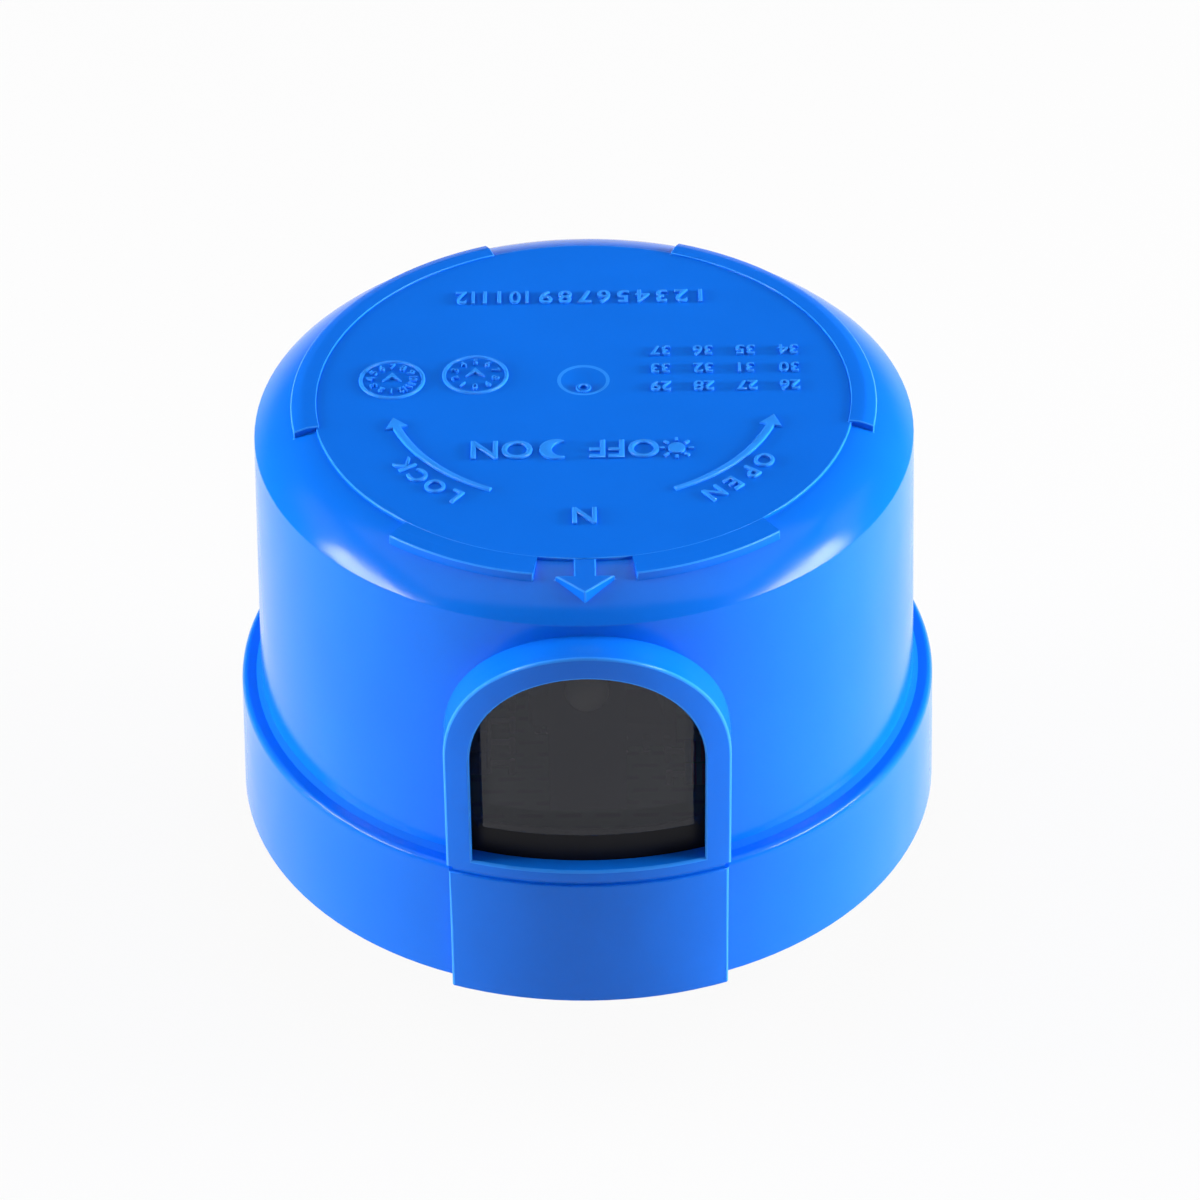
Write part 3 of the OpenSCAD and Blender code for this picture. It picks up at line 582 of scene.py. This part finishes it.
# Turning arrows: two raised arcs on the roof that widen to a barbed head, one each way round.
# Moulded with the cover, a third of a millimetre proud, with rounded edges.
RAISED, SUNK = 0.32, 0.1
ARC_STEPS, ARROW_EDGE = 28, 0.16
TAIL_IN, TAIL_OUT, NECK_IN, NECK_OUT = 21.0, 21.6, 21.9, 22.9
BARB_IN, BARB_OUT, TIP = 21.1, 23.8, 22.4
ARROW_ANGLES = ((-119.8, -163.6, -168.8), (-61.2, -17.0, -11.6))  # tail, neck and tip


def on_plate(radius, angle, around=(0, 0)):
    """A point just under the roof's surface, at a radius and an angle about a middle."""
    turn = math.radians(angle)
    x, y = around[0] + radius * math.cos(turn), around[1] + radius * math.sin(turn)
    return Vector((x, y, ROOF_Z - SUNK))


def swept(bm, start, middle, turn, steps):
    """Points along an arc, from a first point turned about a middle."""
    run = [bm.verts.new(start)]
    for step in range(steps):
        last = bmesh.ops.spin(bm, geom=run[-1:], cent=middle, axis=(0, 0, 1), angle=turn / steps,
                              steps=1)["geom_last"]
        run += [g for g in last if isinstance(g, bmesh.types.BMVert)]
    return run


def struck_arc(bm, start, stop):
    """Points along an arc between two points, struck from near the plate's middle."""
    along = (stop - start).normalized()
    middle = along * ((start + stop) / 2).dot(along)
    a, b = start - middle, stop - middle
    turn = math.atan2(a.x * b.y - a.y * b.x, a.x * b.x + a.y * b.y)
    return swept(bm, start, middle, turn, ARC_STEPS)


def outline(bm, points):
    """A flat face inside a closed run of points, facing up."""
    face = bm.faces.new(points)
    face.normal_update()
    if face.normal.z < 0:
        face.normal_flip()


def lift(bm, soft):
    """Raises every flat face drawn on the plate to relief, with its upper edges rounded."""
    risen = bmesh.ops.extrude_face_region(bm, geom=list(bm.faces), use_keep_orig=True)["geom"]
    bmesh.ops.translate(bm, verts=[g for g in risen if isinstance(g, bmesh.types.BMVert)],
                        vec=(0, 0, RAISED + SUNK))
    bmesh.ops.recalc_face_normals(bm, faces=bm.faces)
    upper = [e for e in bm.edges if all(v.co.z > ROOF_Z for v in e.verts)
             and e.calc_face_angle() > math.radians(SHARP_TURN)]
    bmesh.ops.bevel(bm, geom=upper, offset=soft, offset_type="OFFSET", segments=ROUNDING_STEPS,
                    profile=0.5, affect="EDGES", clamp_overlap=False, material=-1)


def roof_mark(bm, name):
    """Puts relief drawn in millimetres on the roof, in the cover's paler edge blue: a painted
    highlight.
    """
    bmesh.ops.scale(bm, verts=bm.verts, vec=(MM, MM, MM))
    mark = piece_from(bm, name)
    # The marks take the paler edge finish, a painted highlight on the cover's own plastic.
    mark.data.materials.append(painted_edge_highlight)


bm = bmesh.new()
for tail, neck, tip in ARROW_ANGLES:
    outer = struck_arc(bm, on_plate(TAIL_OUT, tail), on_plate(NECK_OUT, neck))
    inner = struck_arc(bm, on_plate(TAIL_IN, tail), on_plate(NECK_IN, neck))
    barbs = ((BARB_OUT, neck), (TIP, tip), (BARB_IN, neck))
    head = [bm.verts.new(on_plate(radius, angle)) for radius, angle in barbs]
    outline(bm, outer + head + inner[::-1])
lift(bm, ARROW_EDGE)
roof_mark(bm, "turning_arrows")

# Words and figures on the roof: plain raised capitals and numbers that read from the back.
# Cut into the mould with a round-nosed tool, so their strokes stand proud with rounded tops.
CAPITAL_SHARE, STROKE_ROUND, STROKE_THIN, LETTER_WELD = 0.73, 0.036, 0.016, 1e-4
TURN_WORDS = (("LOCK", -127.0), ("OPEN", -33.2))  # each with the angle of its first letter
TURN_WORD_R, TURN_WORD_TALL, TURN_WORD_STEP = 24.5, 2.3, 6.6
POLE_Y, POLE_TALL = -23.6, 3.0
SIGN_Y, SIGN_TALL, OFF_X, ON_X = -10.9, 3.4, 4.6, -9.4
ROW_Y, ROW_TALL, ROW_WIDE, ROW_START = 20.0, 2.5, 2.3, 14.0
ROW_STEP, ROW_LONG_STEP = 2.3, 3.2
GRID_X, GRID_Y, GRID_TALL, GRID_STEP_X, GRID_STEP_Y = 24.0, 1.4, 1.8, 5.0, 3.6
GRID_FIRST, GRID_COUNT, GRID_COLUMNS = 26, 12, 4


def stamp(target, text, height, at, turn=180, reach=None):
    """Adds raised text to a mark, height tall and at most reach wide, turned about its middle."""
    em = height / CAPITAL_SHARE
    curve = bpy.data.curves.new("text", "FONT")
    curve.body = text
    curve.size = em
    curve.resolution_u = 4
    curve.bevel_depth = STROKE_ROUND * em
    curve.bevel_resolution = 1
    curve.offset = -STROKE_THIN * em
    curve.extrude = (RAISED + SUNK) / 2 - curve.bevel_depth
    sheet = bpy.data.objects.new("text", curve)
    mesh = sheet.to_mesh()
    letters = bmesh.new()
    letters.from_mesh(mesh)
    sheet.to_mesh_clear()
    bpy.data.curves.remove(curve)
    verts = letters.verts
    bmesh.ops.remove_doubles(letters, verts=verts, dist=LETTER_WELD)
    low = Vector([min(v.co[i] for v in verts) for i in range(3)])
    high = Vector([max(v.co[i] for v in verts) for i in range(3)])
    bmesh.ops.translate(letters, verts=verts, vec=-(low + high) / 2)
    squeeze = min(1, reach / (high.x - low.x)) if reach else 1
    bmesh.ops.scale(letters, verts=verts, vec=(squeeze, 1, 1))
    bmesh.ops.rotate(letters, verts=verts, cent=(0, 0, 0),
                     matrix=Matrix.Rotation(math.radians(turn), 3, "Z"))
    bmesh.ops.translate(letters, verts=verts, vec=(at[0], at[1], ROOF_Z + (RAISED - SUNK) / 2))
    ready = bpy.data.meshes.new("text")
    letters.to_mesh(ready)
    letters.free()
    target.from_mesh(ready)
    bpy.data.meshes.remove(ready)


bm = bmesh.new()
for word, start in TURN_WORDS:
    for i, letter in enumerate(word):
        angle = start - TURN_WORD_STEP * i
        stamp(bm, letter, TURN_WORD_TALL, on_plate(TURN_WORD_R, angle), angle - 90)
stamp(bm, "N", POLE_TALL, (0, POLE_Y))
stamp(bm, "OFF", SIGN_TALL, (OFF_X, SIGN_Y))
stamp(bm, "ON", SIGN_TALL, (ON_X, SIGN_Y))
across = ROW_START
for figure in range(1, 13):
    stamp(bm, str(figure), ROW_TALL, (across, ROW_Y), reach=ROW_WIDE)
    across -= ROW_STEP if figure < 9 else ROW_LONG_STEP
for spot in range(GRID_COUNT):
    row, column = divmod(spot, GRID_COLUMNS)
    at = (GRID_X - GRID_STEP_X * column, GRID_Y + GRID_STEP_Y * row)
    stamp(bm, str(GRID_FIRST + spot), GRID_TALL, at)
roof_mark(bm, "roof_words")

# Day and night signs and date dials: a sun and a crescent beside the words, and two small ringed
# dials. All are raised with the roof; the dials carry plain numbers round a pointer.
SUN, SUN_R, RAYS = (10.6, SIGN_Y), 1.0, 8
RAY = ((1.35, -8), (2.0, -5), (2.0, 5), (1.35, 8))  # radius and angle of each corner
MOON, MOON_R, MOON_START, MOON_ARC = (-3.2, SIGN_Y), 1.9, 60, 240
BITE, BITE_R, BITE_START, BITE_ARC = (-3.2 + 0.93, SIGN_Y), 1.42, 88, 184
SIGN_EDGE, POINTER_EDGE = 0.12, 0.1
DIALS = (((-22.3, 3.4), 1, 12), ((-12.6, 4.2), 0, 10))  # middle, first figure, how many
POINTER = ((1.2, 200), (1.3, 90), (1.2, -20), (0.35, 90))
RING_SECTION = ((3.4, -SUNK), (3.44, 0.16), (3.56, 0.24), (3.74, 0.24), (3.86, 0.16), (3.9, -SUNK))
RING_STEPS, DIAL_R, DIAL_TALL, DIAL_WIDE = 64, 2.5, 0.95, 0.9
bm = bmesh.new()
bmesh.ops.create_circle(bm, cap_ends=True, segments=24, radius=SUN_R,
                        matrix=Matrix.Translation((*SUN, ROOF_Z - SUNK)))
for ray in range(RAYS):
    outline(bm, [bm.verts.new(on_plate(r, 360 / RAYS * ray + a, SUN)) for r, a in RAY])
outer = swept(bm, on_plate(MOON_R, MOON_START, MOON), (*MOON, 0), math.radians(MOON_ARC), steps=24)
inner = swept(bm, on_plate(BITE_R, BITE_START, BITE), (*BITE, 0), math.radians(BITE_ARC), steps=23)
outline(bm, outer + inner[::-1])
lift(bm, SIGN_EDGE)
roof_mark(bm, "day_night_signs")
bm = bmesh.new()
for middle, first, count in DIALS:
    outline(bm, [bm.verts.new(on_plate(r, a, middle)) for r, a in POINTER])
lift(bm, POINTER_EDGE)
for middle, first, count in DIALS:
    around = Vector((*middle, 0))
    section = [bm.verts.new(around + Vector((r, 0, ROOF_Z + z))) for r, z in RING_SECTION]
    loop = [bm.edges.new((a, b)) for a, b in zip(section, section[1:] + section[:1])]
    bmesh.ops.spin(bm, geom=loop, cent=around, axis=(0, 0, 1), angle=math.tau, steps=RING_STEPS,
                   use_merge=True)
    for i in range(count):
        angle = FRONT - 360 / count * i
        stamp(bm, str(first + i), DIAL_TALL, on_plate(DIAL_R, angle, middle), angle - 90,
              reach=DIAL_WIDE)
bmesh.ops.recalc_face_normals(bm, faces=bm.faces)
roof_mark(bm, "date_dials")

# Studio floor and room: a plain sheet of pale paper under the blade tips, which reads as white
# to the eye and in reflections, and a room that is pale at the horizon and dim overhead.
FLOOR_R, FLOOR_GREY, FLOOR_SEEN = 3.0, (0.6, 0.6, 0.6, 1), 0.92
ROOM = (  # share of the way from the horizon to overhead, and the tone there
    (0.0, (0.8, 0.8, 0.8)), (0.06, (0.6, 0.6, 0.61)), (0.2, (0.1, 0.1, 0.104)),
    (1.0, (0.07, 0.07, 0.073)))
floor_mesh = bpy.data.meshes.new("floor")
bm = bmesh.new()
bmesh.ops.create_circle(bm, cap_ends=True, segments=96, radius=FLOOR_R)
bmesh.ops.translate(bm, verts=bm.verts, vec=(0, 0, cad_box[0].z))
bm.to_mesh(floor_mesh)
bm.free()
floor = bpy.data.objects.new("floor", floor_mesh)
bpy.context.scene.collection.objects.link(floor)
paper, tree, shader, place = new_finish("floor_paper")
shader.inputs["Base Color"].default_value = FLOOR_GREY
shader.inputs["Roughness"].default_value = 0.9
glow = tree.nodes.new("ShaderNodeEmission")
seen = tree.nodes.new("ShaderNodeLightPath").outputs
sight = reckon(tree, "MAXIMUM", seen["Is Camera Ray"], seen["Is Glossy Ray"])
sight = reckon(tree, "MAXIMUM", sight, seen["Is Transmission Ray"])
blend = tree.nodes.new("ShaderNodeMixShader")
tree.links.new(reckon(tree, "MULTIPLY", sight, FLOOR_SEEN), blend.inputs["Fac"])
tree.links.new(shader.outputs["BSDF"], blend.inputs[1])
tree.links.new(glow.outputs["Emission"], blend.inputs[2])
tree.links.new(blend.outputs["Shader"], tree.nodes["Material Output"].inputs["Surface"])
floor_mesh.materials.append(paper)
room = bpy.data.worlds.new("room")
bpy.context.scene.world = room
room.use_nodes = True
tree = room.node_tree
height = tree.nodes.new("ShaderNodeSeparateXYZ")
tree.links.new(tree.nodes.new("ShaderNodeTexCoord").outputs["Generated"], height.inputs["Vector"])
tree.links.new(shades(tree, height.outputs["Z"], ROOM), tree.nodes["Background"].inputs["Color"])
tree.nodes["Background"].inputs["Strength"].default_value = 1.0
bpy.context.scene.view_settings.view_transform = "Standard"

# Studio lamps: soft boxes low and high on both sides, a weak one in front and one overhead.
# Some light matt surfaces only, so that they don't glare in the gloss; the gleams are seen only
# in reflections, and draw the highlights on the shoulder.
LIT = Vector((0, 0, 0.05))
LAMPS = (  # name, azimuth, elevation, how far away, size, level, on matt surfaces, in the gloss
    ("right_low_box", 90, 7, 0.75, (0.3, 0.22), 2.0, True, False),
    ("left_low_box", -90, 7, 0.75, (0.3, 0.22), 1.42, True, False),
    ("right_high_box", 103, 38, 0.75, (0.42, 0.125), 0.36, True, False),
    ("left_high_box", -103, 38, 0.75, (0.42, 0.125), 0.33, True, False),
    ("right_gleam", 79, 35, 0.75, (0.42, 0.14), 0.95, False, True),
    ("left_gleam", -79, 35, 0.75, (0.42, 0.14), 0.9, False, True),
    ("front_box", 0, 30, 0.75, (0.5, 0.12), 0.08, True, True),
    ("top_box", 180, 74, 0.8, (0.44, 0.36), 0.15, True, False),
    ("top_gleam", 180, 89, 0.8, (1.2, 0.7), 0.58, False, True))


def soft_box(name, azimuth, elevation, away, size, level, matt, gloss):
    """A rectangular lamp that faces the part, and alone lights a white card there to this level."""
    a, e = math.radians(azimuth), math.radians(elevation)
    towards = Vector((math.cos(e) * math.sin(a), -math.cos(e) * math.cos(a), math.sin(e)))
    lamp = bpy.data.lights.new(name, "AREA")
    lamp.shape = "RECTANGLE"
    lamp.size, lamp.size_y = size
    lamp.energy = level * (math.pi * away) ** 2
    box = bpy.data.objects.new(name, lamp)
    box.location = LIT + towards * away
    box.rotation_euler = towards.to_track_quat("Z", "Y").to_euler()
    box.visible_diffuse, box.visible_glossy = matt, gloss
    bpy.context.scene.collection.objects.link(box)


for lamp in LAMPS:
    soft_box(*lamp)

# Camera: the photograph's view, from above the window and with its slight roll.
# The focal length is given in pixels of a picture 1200 wide.
TILT, ROLL, AWAY = math.radians(37.63), math.radians(-0.67), 0.6
LOOK_AT = Vector((1.63 * MM, 0, 25.55 * MM))
SENSOR, FOCAL_PIXELS, PICTURE_PIXELS = 36, 5015.83, 1200
back = Vector((0, -math.cos(TILT), math.sin(TILT)))
right = Vector((1, 0, 0))
up = back.cross(right)
side = right * math.cos(ROLL) + up * math.sin(ROLL)
over = up * math.cos(ROLL) - right * math.sin(ROLL)
view = bpy.data.cameras.new("camera")
view.sensor_width = SENSOR
view.lens = SENSOR * FOCAL_PIXELS / PICTURE_PIXELS
camera = bpy.data.objects.new("camera", view)
camera.matrix_world = Matrix((side, over, back)).transposed().to_4x4()
camera.location = LOOK_AT + back * AWAY
bpy.context.scene.collection.objects.link(camera)
bpy.context.scene.camera = camera
